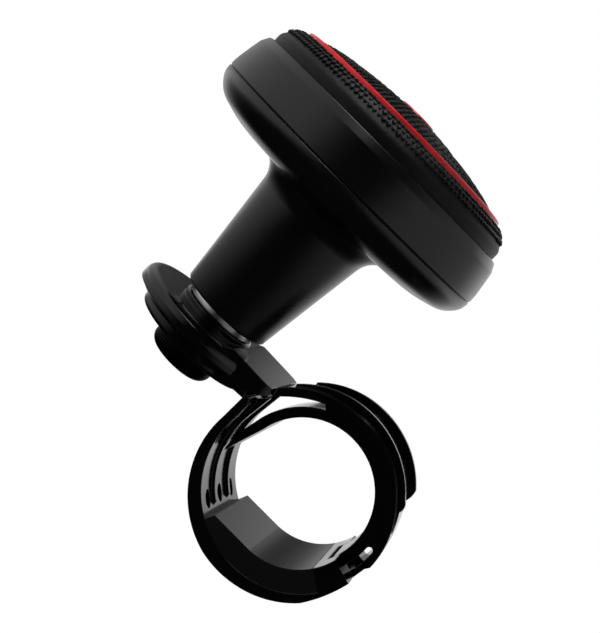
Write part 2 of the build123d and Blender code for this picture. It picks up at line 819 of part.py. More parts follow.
# Dome insert: a shallow domed lid with a seat for the button
dome_r = trim_inner_r - running
dome_peak_z = head_z + dome_top
dome_edge_z = head_z + dome_edge
dome_rise = dome_peak_z - dome_edge_z
button_seat_z = dome_peak_z - button_recess
with BuildPart() as dome_insert:
    with BuildSketch(turn_plane):
        with BuildLine():
            Line((dome_r, dome_floor_z), (dome_r, dome_edge_z))
            Spline(
                (dome_r, dome_edge_z),
                (0.89 * dome_r, dome_edge_z + 0.31 * dome_rise),
                (0.69 * dome_r, dome_edge_z + 0.6 * dome_rise),
                (0.4 * dome_r, dome_edge_z + 0.875 * dome_rise),
                (0, dome_peak_z),
                tangents=((-0.75, 0.5), (-1, 0)),
            )
            Line((0, dome_peak_z), (0, dome_peak_z - dome_wall - button_recess))
            ThreePointArc(
                (0, dome_peak_z - dome_wall - button_recess),
                (dome_r / 2, dome_peak_z - 2 * dome_wall),
                (dome_r - dome_wall, dome_floor_z),
            )
            Line((dome_r - dome_wall, dome_floor_z), (dome_r, dome_floor_z))
        make_face()
    revolve(axis=knob_line)
    with BuildSketch(knob_plane(button_seat_z)):
        Circle(button_r + running)
    extrude(amount=2 * button_recess, mode=Mode.SUBTRACT)
save("dome_insert", dome_insert)

# Button in the middle of the dome, with a shallow dished top
button_top_z = dome_peak_z + button_rise
with BuildPart() as centre_button:
    with BuildSketch(turn_plane):
        with BuildLine():
            Polyline(
                (0, button_seat_z),
                (button_r, button_seat_z),
                (button_r, button_top_z - small_edge),
                (button_r - small_edge, button_top_z),
                (button_r - 2 * small_edge, button_top_z),
                (button_r - 2 * small_edge, button_top_z - small_edge / 2),
                (0, button_top_z - small_edge / 2),
                close=True,
            )
        make_face()
    revolve(axis=knob_line)
save("centre_button", centre_button)
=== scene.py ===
from math import cos, pi, radians, sin

import bmesh
import bpy
from mathutils import Matrix, Vector
from mathutils.bvhtree import BVHTree


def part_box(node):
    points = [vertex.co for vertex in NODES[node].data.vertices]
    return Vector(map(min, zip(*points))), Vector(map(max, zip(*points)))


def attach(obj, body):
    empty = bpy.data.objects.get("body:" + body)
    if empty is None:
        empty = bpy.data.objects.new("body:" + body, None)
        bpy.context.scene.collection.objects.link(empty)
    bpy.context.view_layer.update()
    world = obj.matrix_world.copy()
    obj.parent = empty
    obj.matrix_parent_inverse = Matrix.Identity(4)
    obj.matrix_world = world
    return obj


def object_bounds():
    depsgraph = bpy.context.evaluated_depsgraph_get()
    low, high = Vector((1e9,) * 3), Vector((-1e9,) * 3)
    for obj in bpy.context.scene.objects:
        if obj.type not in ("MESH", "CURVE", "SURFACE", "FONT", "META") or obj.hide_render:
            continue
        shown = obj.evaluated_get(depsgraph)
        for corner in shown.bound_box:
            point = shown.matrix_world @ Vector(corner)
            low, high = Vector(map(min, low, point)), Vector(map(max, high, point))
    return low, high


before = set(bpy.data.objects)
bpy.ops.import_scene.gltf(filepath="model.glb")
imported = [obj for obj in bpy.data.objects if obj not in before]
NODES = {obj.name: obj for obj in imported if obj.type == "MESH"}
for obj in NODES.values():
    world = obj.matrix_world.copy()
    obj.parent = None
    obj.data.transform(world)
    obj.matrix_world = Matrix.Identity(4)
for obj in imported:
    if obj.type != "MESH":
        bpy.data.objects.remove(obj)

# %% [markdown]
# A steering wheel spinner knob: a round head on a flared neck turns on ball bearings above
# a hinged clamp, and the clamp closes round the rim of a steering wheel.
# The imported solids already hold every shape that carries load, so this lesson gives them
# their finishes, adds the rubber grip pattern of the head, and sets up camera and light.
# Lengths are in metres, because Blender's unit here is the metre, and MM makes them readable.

MM = 0.001
cad_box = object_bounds()

# %% [markdown]
# Every finish below is a node material. One helper adds a node, sets its options and fills
# its inputs, so that each recipe reads from top to bottom like a list of steps.
# Colours are written as sRGB hex, as a paint chart gives them, and turned to linear light here.

# %% Colour and node helpers
def hex_colour(code):
    """sRGB hex such as 'C4161C' as linear red, green, blue and alpha."""
    channels = [int(code[i:i + 2], 16) / 255 for i in (0, 2, 4)]
    linear = [c / 12.92 if c <= 0.04045 else ((c + 0.055) / 1.055) ** 2.4 for c in channels]
    return (*linear, 1.0)


def add(tree, kind, inputs=None, **settings):
    """A new node: settings are its options, inputs maps a socket to a value or to an output."""
    node = tree.nodes.new(kind)
    for option, value in settings.items():
        setattr(node, option, value)
    for key, value in (inputs or {}).items():
        if isinstance(value, bpy.types.NodeSocket):
            tree.links.new(value, node.inputs[key])
        else:
            node.inputs[key].default_value = value
    return node


def new_material(name):
    """An empty material with its tree, a Principled shader and the object's own coordinates."""
    material = bpy.data.materials.new(name)
    material.use_nodes = True
    tree = material.node_tree
    tree.nodes.clear()
    shader = add(tree, "ShaderNodeBsdfPrincipled")
    add(tree, "ShaderNodeOutputMaterial", {"Surface": shader.outputs["BSDF"]})
    place = add(tree, "ShaderNodeTexCoord").outputs["Object"]
    return material, tree, shader, place


def per_metre(size_mm):
    """The texture scale at which one cell of a noise is size_mm across."""
    return 1 / (size_mm * MM)


print("red of the trim ring in linear light:", [round(c, 3) for c in hex_colour("C4161C")])

# %% [markdown]
# A moulded edge is never sharp: the tool leaves a radius of a few tenths of a millimetre, and
# that radius catches the light. The Bevel node rounds the shading there without new faces.
# Where the rounded normal leaves the true one, an edge has been found, and hands wear an edge
# a little paler and rougher. The mask from that comparison drives both.

# %% Rounded edges and edge wear
EDGE_RADIUS_MM = 0.15
GLOSS_EDGE_MM = 0.35
EDGE_SAMPLES = 6
FLAT_MATCH = 0.999
EDGE_MATCH = 0.9


def soft_edge(tree, radius_mm=EDGE_RADIUS_MM):
    """The normal of a rounded edge, and a mask that is 1 on edges and 0 on faces."""
    rounded = add(tree, "ShaderNodeBevel", {"Radius": radius_mm * MM}, samples=EDGE_SAMPLES)
    geometry = add(tree, "ShaderNodeNewGeometry")
    match = add(tree, "ShaderNodeVectorMath",
                {0: rounded.outputs["Normal"], 1: geometry.outputs["Normal"]}, operation="DOT_PRODUCT")
    mask = add(tree, "ShaderNodeMapRange", {"Value": match.outputs["Value"], "From Min": FLAT_MATCH,
                                            "From Max": EDGE_MATCH, "To Min": 0.0, "To Max": 1.0})
    return rounded.outputs["Normal"], mask.outputs["Result"]


print("edge radius in the finishes:", EDGE_RADIUS_MM, "mm, on the clamp", GLOSS_EDGE_MM, "mm")

# %% [markdown]
# The shells and the neck are ABS, injection moulded in a spark-eroded tool. Its fine grain
# breaks the reflection into a satin sheen. Two noises make it: one of grain size for the
# bump, and one of finger size that shifts the gloss where the surface has been handled.
# The clamp's jaws are the same black but come from a polished tool, so they mirror the studio.

# %% Black ABS: satin for the head, gloss for the clamp
FINGER_MM = 14
WORN_ROUGHER = 0.12
ABS_IOR = 1.54


def moulded_plastic(name, colour, worn, gloss, grain_mm, grain_depth, radius_mm):
    """Moulded plastic: colour and worn edge colour, lowest and highest roughness, grain, edge radius."""
    material, tree, shader, place = new_material(name)
    edge_normal, edge = soft_edge(tree, radius_mm)
    handled = add(tree, "ShaderNodeTexNoise", {"Vector": place, "Scale": per_metre(FINGER_MM), "Detail": 3.0})
    shade = add(tree, "ShaderNodeMapRange", {"Value": handled.outputs["Fac"], "From Min": 0.35,
                                             "From Max": 0.7, "To Min": gloss[0], "To Max": gloss[1]})
    rough = add(tree, "ShaderNodeMath", {0: edge, 1: WORN_ROUGHER, 2: shade.outputs["Result"]},
                operation="MULTIPLY_ADD")
    tint = add(tree, "ShaderNodeMix", {"Factor": edge, "A": hex_colour(colour), "B": hex_colour(worn)},
               data_type="RGBA")
    grain = add(tree, "ShaderNodeTexNoise", {"Vector": place, "Scale": per_metre(grain_mm), "Detail": 2.0})
    bump = add(tree, "ShaderNodeBump", {"Height": grain.outputs["Fac"], "Normal": edge_normal,
                                        "Strength": 1.0, "Distance": grain_depth * MM})
    tree.links.new(tint.outputs["Result"], shader.inputs["Base Color"])
    tree.links.new(rough.outputs["Value"], shader.inputs["Roughness"])
    tree.links.new(bump.outputs["Normal"], shader.inputs["Normal"])
    shader.inputs["IOR"].default_value = ABS_IOR
    return material


satin_abs = moulded_plastic("ABS moulded satin black", "050506", "101011", (0.20, 0.30),
                            0.35, 0.004, EDGE_RADIUS_MM)
gloss_abs = moulded_plastic("ABS moulded gloss black", "030304", "0B0B0C", (0.10, 0.18),
                            1.4, 0.002, GLOSS_EDGE_MM)
print("plastics:", satin_abs.name, "and", gloss_abs.name)

# %% [markdown]
# The grip cap and the dome are a thermoplastic elastomer, moulded over the hard core so that
# a palm can turn the wheel without slipping. It is matte and as black as the ABS, with less
# shine, and its leather-like grain of about half a millimetre gives a broken, sooty surface.
# The clamp's lining is plain EPDM rubber, which shines a little more, with a fine pressed grain.

# %% Elastomer of the grip and rubber of the lining
DUST_MM = 9
DUST_SHARE = 0.6
CELL_RELIEF = -0.8
RUBBER_IOR = 1.5


def grained_rubber(name, colour, pale, roughness, sheen, cell_mm, depth_mm):
    """Grained rubber with dusty patches and worn edges; sheen is the strength of its shine."""
    material, tree, shader, place = new_material(name)
    edge_normal, edge = soft_edge(tree)
    cells = add(tree, "ShaderNodeTexVoronoi", {"Vector": place, "Scale": per_metre(cell_mm)}, feature="F1")
    fine = add(tree, "ShaderNodeTexNoise",
               {"Vector": place, "Scale": per_metre(cell_mm / 3), "Detail": 3.0})
    height = add(tree, "ShaderNodeMath", {0: cells.outputs["Distance"], 1: CELL_RELIEF,
                                          2: fine.outputs["Fac"]}, operation="MULTIPLY_ADD")
    dusty = add(tree, "ShaderNodeTexNoise", {"Vector": place, "Scale": per_metre(DUST_MM), "Detail": 4.0})
    lift = add(tree, "ShaderNodeMath", {0: dusty.outputs["Fac"], 1: DUST_SHARE, 2: edge},
               operation="MULTIPLY_ADD", use_clamp=True)
    tint = add(tree, "ShaderNodeMix", {"Factor": lift.outputs["Value"], "A": hex_colour(colour),
                                       "B": hex_colour(pale)}, data_type="RGBA")
    bump = add(tree, "ShaderNodeBump", {"Height": height.outputs["Value"], "Normal": edge_normal,
                                        "Strength": 1.0, "Distance": depth_mm * MM})
    tree.links.new(tint.outputs["Result"], shader.inputs["Base Color"])
    tree.links.new(bump.outputs["Normal"], shader.inputs["Normal"])
    shader.inputs["Roughness"].default_value = roughness
    shader.inputs["IOR"].default_value = RUBBER_IOR
    shader.inputs["Specular IOR Level"].default_value = sheen
    return material


grip_elastomer = grained_rubber("TPE grip elastomer black", "040404", "0B0B0B", 0.5, 0.25, 0.5, 0.03)
dome_elastomer = grained_rubber("TPE dome elastomer black", "050505", "0C0C0C", 0.45, 0.3, 0.7, 0.03)
lining_rubber = grained_rubber("EPDM lining rubber black", "060606", "0D0D0E", 0.33, 0.5, 0.45, 0.008)
print("rubbers:", grip_elastomer.name, dome_elastomer.name, lining_rubber.name)

# %% [markdown]
# The trim ring and the button in the dome are ABS with a sprayed red lacquer. Lacquer shows a
# deep colour under a clear skin, so the shader has a coat, and the skin's slow waves, about
# 2 mm apart, are the orange peel that every sprayed part has.

# %% Red lacquer
PEEL_MM = 2
PEEL_DEPTH_MM = 0.01
FACE_ROUGH = 0.28
WORN_ROUGH = 0.4
BASE_SHINE = 0.2
COAT_WEIGHT = 0.2
COAT_ROUGH = 0.15


def sprayed_lacquer(name, colour, deep):
    """Coloured lacquer under a clear coat, with orange peel and a slightly darker pooling."""
    material, tree, shader, place = new_material(name)
    edge_normal, edge = soft_edge(tree)
    peel = add(tree, "ShaderNodeTexNoise", {"Vector": place, "Scale": per_metre(PEEL_MM), "Detail": 1.0})
    tint = add(tree, "ShaderNodeMix", {"Factor": peel.outputs["Fac"], "A": hex_colour(colour),
                                       "B": hex_colour(deep)}, data_type="RGBA")
    bump = add(tree, "ShaderNodeBump", {"Height": peel.outputs["Fac"], "Normal": edge_normal,
                                        "Strength": 1.0, "Distance": PEEL_DEPTH_MM * MM})
    rough = add(tree, "ShaderNodeMapRange", {"Value": edge, "To Min": FACE_ROUGH, "To Max": WORN_ROUGH})
    tree.links.new(tint.outputs["Result"], shader.inputs["Base Color"])
    tree.links.new(rough.outputs["Result"], shader.inputs["Roughness"])
    tree.links.new(bump.outputs["Normal"], shader.inputs["Normal"])
    shader.inputs["Specular IOR Level"].default_value = BASE_SHINE
    shader.inputs["Coat Weight"].default_value = COAT_WEIGHT
    shader.inputs["Coat Roughness"].default_value = COAT_ROUGH
    return material


red_lacquer = sprayed_lacquer("Red lacquer on ABS", "C4121B", "9C0D14")
print("lacquer:", red_lacquer.name)

# %% [markdown]
# The metal pieces are turned or ground, which leaves fine rings round the spin axis. A wave
# along Z gives those rings, and a patchy noise shifts the colour and the gloss between them.
# The clamp screw is blackened steel, the washers and nuts are zinc plated, the bearing races
# are ground steel and their cages pressed brass.

# %% Turned and plated metals
STAIN_MM = 5
WAVE_BANDS = 20
ROUGH_SPREAD = 0.3


def turned_metal(name, colour, stain, roughness, ring_mm, ring_depth):
    """Metal with lathe rings along Z, and a patchy stain of a second colour."""
    material, tree, shader, place = new_material(name)
    edge_normal, edge = soft_edge(tree)
    rings = add(tree, "ShaderNodeTexWave", {"Vector": place, "Scale": per_metre(ring_mm) / WAVE_BANDS,
                                            "Distortion": 0.6, "Detail": 2.0}, bands_direction="Z")
    patches = add(tree, "ShaderNodeTexNoise", {"Vector": place, "Scale": per_metre(STAIN_MM), "Detail": 5.0})
    mix = add(tree, "ShaderNodeMapRange", {"Value": patches.outputs["Fac"], "From Min": 0.4,
                                           "From Max": 0.75})
    tint = add(tree, "ShaderNodeMix", {"Factor": mix.outputs["Result"], "A": hex_colour(colour),
                                       "B": hex_colour(stain)}, data_type="RGBA")
    rough = add(tree, "ShaderNodeMapRange", {"Value": patches.outputs["Fac"],
                                             "To Min": roughness * (1 - ROUGH_SPREAD),
                                             "To Max": roughness * (1 + ROUGH_SPREAD)})
    bump = add(tree, "ShaderNodeBump", {"Height": rings.outputs["Fac"], "Normal": edge_normal,
                                        "Strength": 1.0, "Distance": ring_depth * MM})
    tree.links.new(tint.outputs["Result"], shader.inputs["Base Color"])
    tree.links.new(rough.outputs["Result"], shader.inputs["Roughness"])
    tree.links.new(bump.outputs["Normal"], shader.inputs["Normal"])
    shader.inputs["Metallic"].default_value = 1.0
    return material


shaft_steel = turned_metal("Steel ground and polished", "C9CACC", "B4B6B9", 0.16, 0.3, 0.002)
collar_steel = turned_metal("Steel turned bright", "F0F1F2", "E2E3E5", 0.34, 0.3, 0.002)
race_steel = turned_metal("Bearing steel ground", "B9BBBE", "A6A8AC", 0.22, 0.2, 0.002)
zinc_steel = turned_metal("Steel zinc plated", "AEB1B4", "94979A", 0.34, 0.4, 0.003)
black_steel = turned_metal("Steel black oxide", "141416", "232326", 0.38, 0.4, 0.006)
cage_brass = turned_metal("Brass pressed", "C9A24D", "A98337", 0.32, 0.5, 0.003)
spacer_alloy = turned_metal("Aluminium turned", "C4C6C8", "AEB0B3", 0.3, 0.25, 0.005)
metals = (shaft_steel, collar_steel, race_steel, zinc_steel, black_steel, cage_brass, spacer_alloy)
print("metals:", [metal.name for metal in metals])

# %% [markdown]
# Each solid of the frame keeps its shape and takes one of these finishes. The meshes are
# loose triangles, so nothing is changed in them: only the material slots are filled.

# %% Finishes of the carried-over pieces
FINISHES = {
    "upper_shell": satin_abs, "lower_shell": satin_abs, "neck": satin_abs,
    "grip_cap": grip_elastomer, "dome_insert": dome_elastomer,
    "trim_ring": red_lacquer, "centre_button": red_lacquer,
    "upper_jaw": gloss_abs, "lower_jaw": gloss_abs, "rim_pad": lining_rubber,
    "spindle": collar_steel, "hinge_pin": shaft_steel,
    "clamp_screw": black_steel, "clamp_washer": zinc_steel,
    "lower_inner_race": race_steel, "lower_outer_race": race_steel, "lower_balls": race_steel,
    "upper_inner_race": race_steel, "upper_outer_race": race_steel, "upper_balls": race_steel,
    "lower_cage": cage_brass, "upper_cage": cage_brass, "bearing_spacer": spacer_alloy,
    "spindle_nut": zinc_steel, "nut_washer": zinc_steel,
    "neck_screws": zinc_steel, "shell_screws": zinc_steel,
}
for name, material in FINISHES.items():
    NODES[name].data.materials.clear()
    NODES[name].data.materials.append(material)
print("finished:", len(FINISHES), "of", len(NODES), "nodes")

# %% [markdown]
# The trim ring of the solids has a flat crown. The sprayed ring stands a little prouder, with a
# round top that catches the light as one long line. A profile of a few points turned round the
# spin axis gives it: a lathe is the shortest way to a ring whose section is known.

# %% Crown of the trim ring
def lathe(name, centre_x, profile, around):
    """A closed ring: the profile of (radius, height) points, turned round the spin axis."""
    mesh = bmesh.new()
    turns = [[mesh.verts.new((centre_x + r * cos(2 * pi * k / around), r * sin(2 * pi * k / around), z))
              for r, z in profile] for k in range(around)]
    for k in range(around):
        here, there = turns[k], turns[(k + 1) % around]
        for i in range(len(profile)):
            j = (i + 1) % len(profile)
            mesh.faces.new((here[i], there[i], there[j], here[j])).smooth = True
    bmesh.ops.recalc_face_normals(mesh, faces=mesh.faces)
    data = bpy.data.meshes.new(name)
    mesh.to_mesh(data)
    mesh.free()
    piece = bpy.data.objects.new(name, data)
    bpy.context.scene.collection.objects.link(piece)
    return piece


CROWN_RISE_MM = 0.2
CROWN_INSET_MM = 0.03
CROWN_FOOT_MM = 0.5
CROWN_STEP_DEGREES = 15
CROWN_AROUND = 240
ring_low, ring_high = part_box("trim_ring")
dome_low, dome_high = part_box("dome_insert")
knob_x = (ring_low.x + ring_high.x) / 2
ring_radius = (ring_high.x - ring_low.x) / 2
dome_radius = (dome_high.x - dome_low.x) / 2
crown_mid = (ring_radius + dome_radius) / 2
crown_half = (ring_radius - dome_radius) / 2 - CROWN_INSET_MM * MM
crown_base = ring_high.z - CROWN_INSET_MM * MM
crown_foot = ring_high.z - CROWN_FOOT_MM * MM
crown_profile = []
for angle in range(0, 181, CROWN_STEP_DEGREES):
    rise = CROWN_RISE_MM * MM * abs(sin(radians(angle)))
    crown_profile.append((crown_mid + crown_half * cos(radians(angle)), crown_base + rise))
crown_profile += [(crown_mid - crown_half, crown_foot), (crown_mid + crown_half, crown_foot)]
crown = lathe("trim_crown", knob_x, crown_profile, CROWN_AROUND)
crown.data.materials.append(red_lacquer)
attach(crown, "knob")
print("crown of the ring:", len(crown.data.polygons), "faces")

# %% [markdown]
# Two parts of the head carry the grip: the shoulder outside the red ring and the dome inside
# it. Both are covered with small raised rubber lozenges in rows, each row shifted by half a
# step against the next. They repeat by a rule, which is what Geometry Nodes are for.
# First comes a net of faces that lies on the rubber, one face for each lozenge. Rays find where
# the surface is, so that the net fits the solids however their dimensions change.

# %% Rows of the grip, found on the surface of the solids
PAD_PITCH_MM = 1.2
SHOULDER_ROWS = 3
cap_low, cap_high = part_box("grip_cap")
cap_radius = (cap_high.x - cap_low.x) / 2


def surface_of(name):
    """A search tree of one solid's triangles, for casting rays at it."""
    mesh = NODES[name].data
    return BVHTree.FromPolygons([v.co for v in mesh.vertices], [p.vertices for p in mesh.polygons])


def trace(name, starts, heading):
    """Points (radius, height) where rays from the starts first meet the solid."""
    tree = surface_of(name)
    hits = [tree.ray_cast(start, heading)[0] for start in starts]
    return [(hit.x - knob_x, hit.z) for hit in hits if hit is not None]


def even_rows(points, pitch):
    """The same profile with its points one pitch apart along the curve."""
    kept = [points[0]]
    for point in points[1:]:
        if ((point[0] - kept[-1][0]) ** 2 + (point[1] - kept[-1][1]) ** 2) ** 0.5 >= pitch:
            kept.append(point)
    return kept


SHOULDER_FOOT_MM = 4.6
RING_CLEARANCE_MM = 0.45
DOME_HOLE_MM = 5.6
DOME_EDGE_MM = 0.6
STEP_MM = 0.05
HIGH_ABOVE = 1.0
side_starts = [Vector((knob_x + 2 * cap_radius, 0, cap_high.z - (SHOULDER_FOOT_MM - k * STEP_MM) * MM))
               for k in range(int(SHOULDER_FOOT_MM / STEP_MM))]
shoulder = trace("grip_cap", side_starts, Vector((-1, 0, 0)))
cap_steps = int((cap_radius - ring_radius) / (STEP_MM * MM))
above_starts = [Vector((knob_x + cap_radius - k * STEP_MM * MM, 0, HIGH_ABOVE)) for k in range(cap_steps)]
shoulder += trace("grip_cap", above_starts, Vector((0, 0, -1)))
clear_radius = ring_radius + RING_CLEARANCE_MM * MM
shoulder = sorted((p for p in shoulder if p[0] > clear_radius), key=lambda p: 2 * p[0] - p[1])
dome_steps = int((dome_radius - DOME_HOLE_MM * MM) / (STEP_MM * MM))
dome_starts = [Vector((knob_x + dome_radius - k * STEP_MM * MM, 0, HIGH_ABOVE))
               for k in range(round(DOME_EDGE_MM / STEP_MM), dome_steps)]
dome = trace("dome_insert", dome_starts, Vector((0, 0, -1)))
shoulder_rows = even_rows(shoulder, PAD_PITCH_MM * MM)[SHOULDER_ROWS::-1]
dome_rows = even_rows(dome, PAD_PITCH_MM * MM)
print("rows on the shoulder:", len(shoulder_rows) - 1, "rows on the dome:", len(dome_rows) - 1)

# %% [markdown]
# The net itself is plain mesh code: a ring of quads for each row, with as many as fit round at
# that radius. Each face stands for one lozenge, and its normal says which way is up.

# %% Make the net
def lay_rows(net, points, pitch):
    """Adds separate quads round the spin axis between each pair of points, staggered by row."""
    for row, ((r_low, z_low), (r_high, z_high)) in enumerate(zip(points, points[1:])):
        around = round(pi * (r_low + r_high) / pitch)
        step = 2 * pi / around
        for k in range(around):
            start = (k + 0.5 * (row % 2)) * step
            corners = [(r_low, start, z_low), (r_low, start + step, z_low),
                       (r_high, start + step, z_high), (r_high, start, z_high)]
            net.faces.new([net.verts.new((knob_x + r * cos(a), r * sin(a), z)) for r, a, z in corners])


net = bmesh.new()
lay_rows(net, shoulder_rows, PAD_PITCH_MM * MM)
lay_rows(net, dome_rows, PAD_PITCH_MM * MM)
net_mesh = bpy.data.meshes.new("grip_pads")
net.to_mesh(net_mesh)
net.free()
pads = bpy.data.objects.new("grip_pads", net_mesh)
bpy.context.scene.collection.objects.link(pads)
print("faces in the net:", len(pads.data.polygons))

# %% [markdown]
# The tree turns each face of the net into a point that knows the face's normal, and puts a
# low four-sided pyramid with a flat top on it. A direction along the rim, worked out from the
# spin axis, keeps the lozenges in line. Realize Instances makes them real mesh again.

# %% Geometry Nodes tree of the grip pattern
PAD_TOP = 0.6
PAD_LENGTH = 1.2
PAD_WIDTH = 1.35
PAD_HEIGHT_MM = 0.5
PAD_UNEVENNESS = 0.35
PAD_SEED = 7


def pad_tree():
    """Group that stands a flat-topped lozenge on every face of its input."""
    tree = bpy.data.node_groups.new("Grip lozenges", "GeometryNodeTree")
    face = tree.interface
    face.new_socket(name="Net", in_out="INPUT", socket_type="NodeSocketGeometry")
    for measure in ("Pad Length", "Pad Width", "Pad Height", "Axis X", "Unevenness"):
        face.new_socket(name=measure, in_out="INPUT", socket_type="NodeSocketFloat")
    face.new_socket(name="Rubber", in_out="INPUT", socket_type="NodeSocketMaterial")
    face.new_socket(name="Pads", in_out="OUTPUT", socket_type="NodeSocketGeometry")
    inputs = add(tree, "NodeGroupInput").outputs
    normal = add(tree, "GeometryNodeInputNormal").outputs["Normal"]
    kept = add(tree, "GeometryNodeCaptureAttribute", {"Geometry": inputs["Net"]}, domain="FACE")
    kept.capture_items.new("VECTOR", "Up")
    tree.links.new(normal, kept.inputs["Up"])
    points = add(tree, "GeometryNodeMeshToPoints", {"Mesh": kept.outputs["Geometry"]}, mode="FACES")
    lozenge = add(tree, "GeometryNodeMeshCone", {"Vertices": 4, "Radius Top": PAD_TOP / 2,
                                                 "Radius Bottom": 0.5, "Depth": 1.0})
    place = add(tree, "GeometryNodeInputPosition").outputs["Position"]
    axis = add(tree, "ShaderNodeCombineXYZ", {"X": inputs["Axis X"]}).outputs["Vector"]
    spoke = add(tree, "ShaderNodeVectorMath", {0: place, 1: axis}, operation="SUBTRACT")
    along = add(tree, "ShaderNodeVectorMath", {0: (0, 0, 1), 1: spoke.outputs["Vector"]},
                operation="CROSS_PRODUCT")
    stand = add(tree, "FunctionNodeAlignRotationToVector", {"Vector": kept.outputs["Up"]}, axis="Z")
    turn = add(tree, "FunctionNodeAlignRotationToVector",
               {"Rotation": stand.outputs["Rotation"], "Vector": along.outputs["Vector"]},
               axis="X", pivot_axis="Z")
    size = add(tree, "ShaderNodeCombineXYZ", {"X": inputs["Pad Length"], "Y": inputs["Pad Width"],
                                              "Z": inputs["Pad Height"]})
    least = add(tree, "ShaderNodeMath", {0: 1.0, 1: inputs["Unevenness"]}, operation="SUBTRACT")
    chance = add(tree, "FunctionNodeRandomValue", {"Seed": PAD_SEED}, data_type="FLOAT")
    lowest = next(s for s in chance.inputs if s.name == "Min" and s.type == "VALUE")
    tree.links.new(least.outputs["Value"], lowest)
    share = next(s for s in chance.outputs if s.type == "VALUE")
    uneven = add(tree, "ShaderNodeVectorMath", {0: size.outputs["Vector"]}, operation="SCALE")
    tree.links.new(share, uneven.inputs["Scale"])
    copies = add(tree, "GeometryNodeInstanceOnPoints",
                 {"Points": points.outputs["Points"], "Instance": lozenge.outputs["Mesh"],
                  "Rotation": turn.outputs["Rotation"], "Scale": uneven.outputs["Vector"]})
    solid = add(tree, "GeometryNodeRealizeInstances", {"Geometry": copies.outputs["Instances"]})
    painted = add(tree, "GeometryNodeSetMaterial", {"Geometry": solid.outputs["Geometry"],
                                                    "Material": inputs["Rubber"]})
    add(tree, "NodeGroupOutput", {"Pads": painted.outputs["Geometry"]})
    return tree


def apply_tree(target, tree, values):
    """Runs the tree on an object, with inputs set by socket identifier, and keeps a plain mesh."""
    modifier = target.modifiers.new(tree.name, "NODES")
    modifier.node_group = tree
    for item in tree.interface.items_tree:
        if item.in_out == "INPUT" and item.name in values:
            modifier[item.identifier] = values[item.name]
    depsgraph = bpy.context.evaluated_depsgraph_get()
    mesh = bpy.data.meshes.new_from_object(target.evaluated_get(depsgraph))
    target.modifiers.remove(modifier)
    target.data = mesh
    return len(mesh.polygons)


pad_faces = apply_tree(pads, pad_tree(), {
    "Pad Length": PAD_LENGTH * PAD_PITCH_MM * MM, "Pad Width": PAD_WIDTH * PAD_PITCH_MM * MM,
    "Pad Height": PAD_HEIGHT_MM * MM, "Axis X": knob_x, "Unevenness": PAD_UNEVENNESS,
    "Rubber": grip_elastomer,
})
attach(pads, "knob")
print("grip pattern:", pad_faces, "faces, one lozenge every", PAD_PITCH_MM, "mm")

# %% [markdown]
# The knob is photographed as a catalogue does it: on white, from a little above the plates,
# with the camera rolled so that the knob leans to the right. The place and the three
# directions of the camera are written in the frame of the part.

# %% Camera at the photograph's angle
CAMERA_PLACE_MM = (7.393, -224.143, 54.973)
RIGHT = Vector((0.68086, 0.20333, 0.70362))
DOWN = Vector((0.71745, 0.00800, -0.69656))
FORWARD = Vector((-0.14726, 0.97908, -0.14043))
FOCAL_PIXELS = 1109.1
PICTURE_WIDTH = 600
camera_data = bpy.data.cameras.new("camera")
camera_data.sensor_fit = "HORIZONTAL"
camera_data.sensor_width = 36
camera_data.lens = FOCAL_PIXELS / PICTURE_WIDTH * camera_data.sensor_width
camera_data.clip_start = 0.01
camera = bpy.data.objects.new("camera", camera_data)
bpy.context.scene.collection.objects.link(camera)
turned = Matrix((RIGHT, -DOWN, -FORWARD)).transposed().to_4x4()
camera.matrix_world = Matrix.Translation(Vector(CAMERA_PLACE_MM) * MM) @ turned
bpy.context.scene.camera = camera
print("lens:", round(camera_data.lens, 1), "mm")

# %% [markdown]
# Glossy black shows nothing but its surroundings, so the studio is what gives it form.
# The camera sees plain white. Reflections see a white backdrop behind the knob, a grey screen
# on its left and a narrower one on its right, and a bright strip overhead that draws a thin
# line along the edges, while the side where the camera stands is dark.
# The light that falls on the surfaces is a plain, even level from all round, so every colour
# renders about as it is written.

# %% World
STUDIO_DARK = 0.004
BACKDROP_WHITE = 0.9
LEFT_GREY = 0.6
RIGHT_GREY = 0.4
OVERHEAD_WHITE = 7.0
PLAIN_LEVEL = 0.75
BACKDROP_Y = (0.35, 0.95)
BACKDROP_X = (-0.2, 0.0)
LEFT_SCREEN_X = (-0.1, -0.7)
RIGHT_SCREEN_X = (0.4, 0.8)
OVERHEAD_Z = (0.84, 0.93)
OVERHEAD_X = (0.0, -0.2)
world = bpy.data.worlds.new("studio")
world.use_nodes = True
world.cycles.sampling_method = "NONE"
bpy.context.scene.world = world
sky = world.node_tree
sky.nodes.clear()


def ramp(tree, value, span, level):
    """A soft step of one coordinate: 0 at the span's first value, level at its last."""
    step = add(tree, "ShaderNodeMapRange", {"Value": value, "From Min": span[0], "From Max": span[1],
                                            "To Max": level}, interpolation_type="SMOOTHSTEP")
    return step.outputs["Result"]


def brighter(tree, one, other):
    """The larger of two levels."""
    return add(tree, "ShaderNodeMath", {0: one, 1: other}, operation="MAXIMUM").outputs["Value"]


def product(tree, one, other):
    """Two levels multiplied."""
    return add(tree, "ShaderNodeMath", {0: one, 1: other}, operation="MULTIPLY").outputs["Value"]


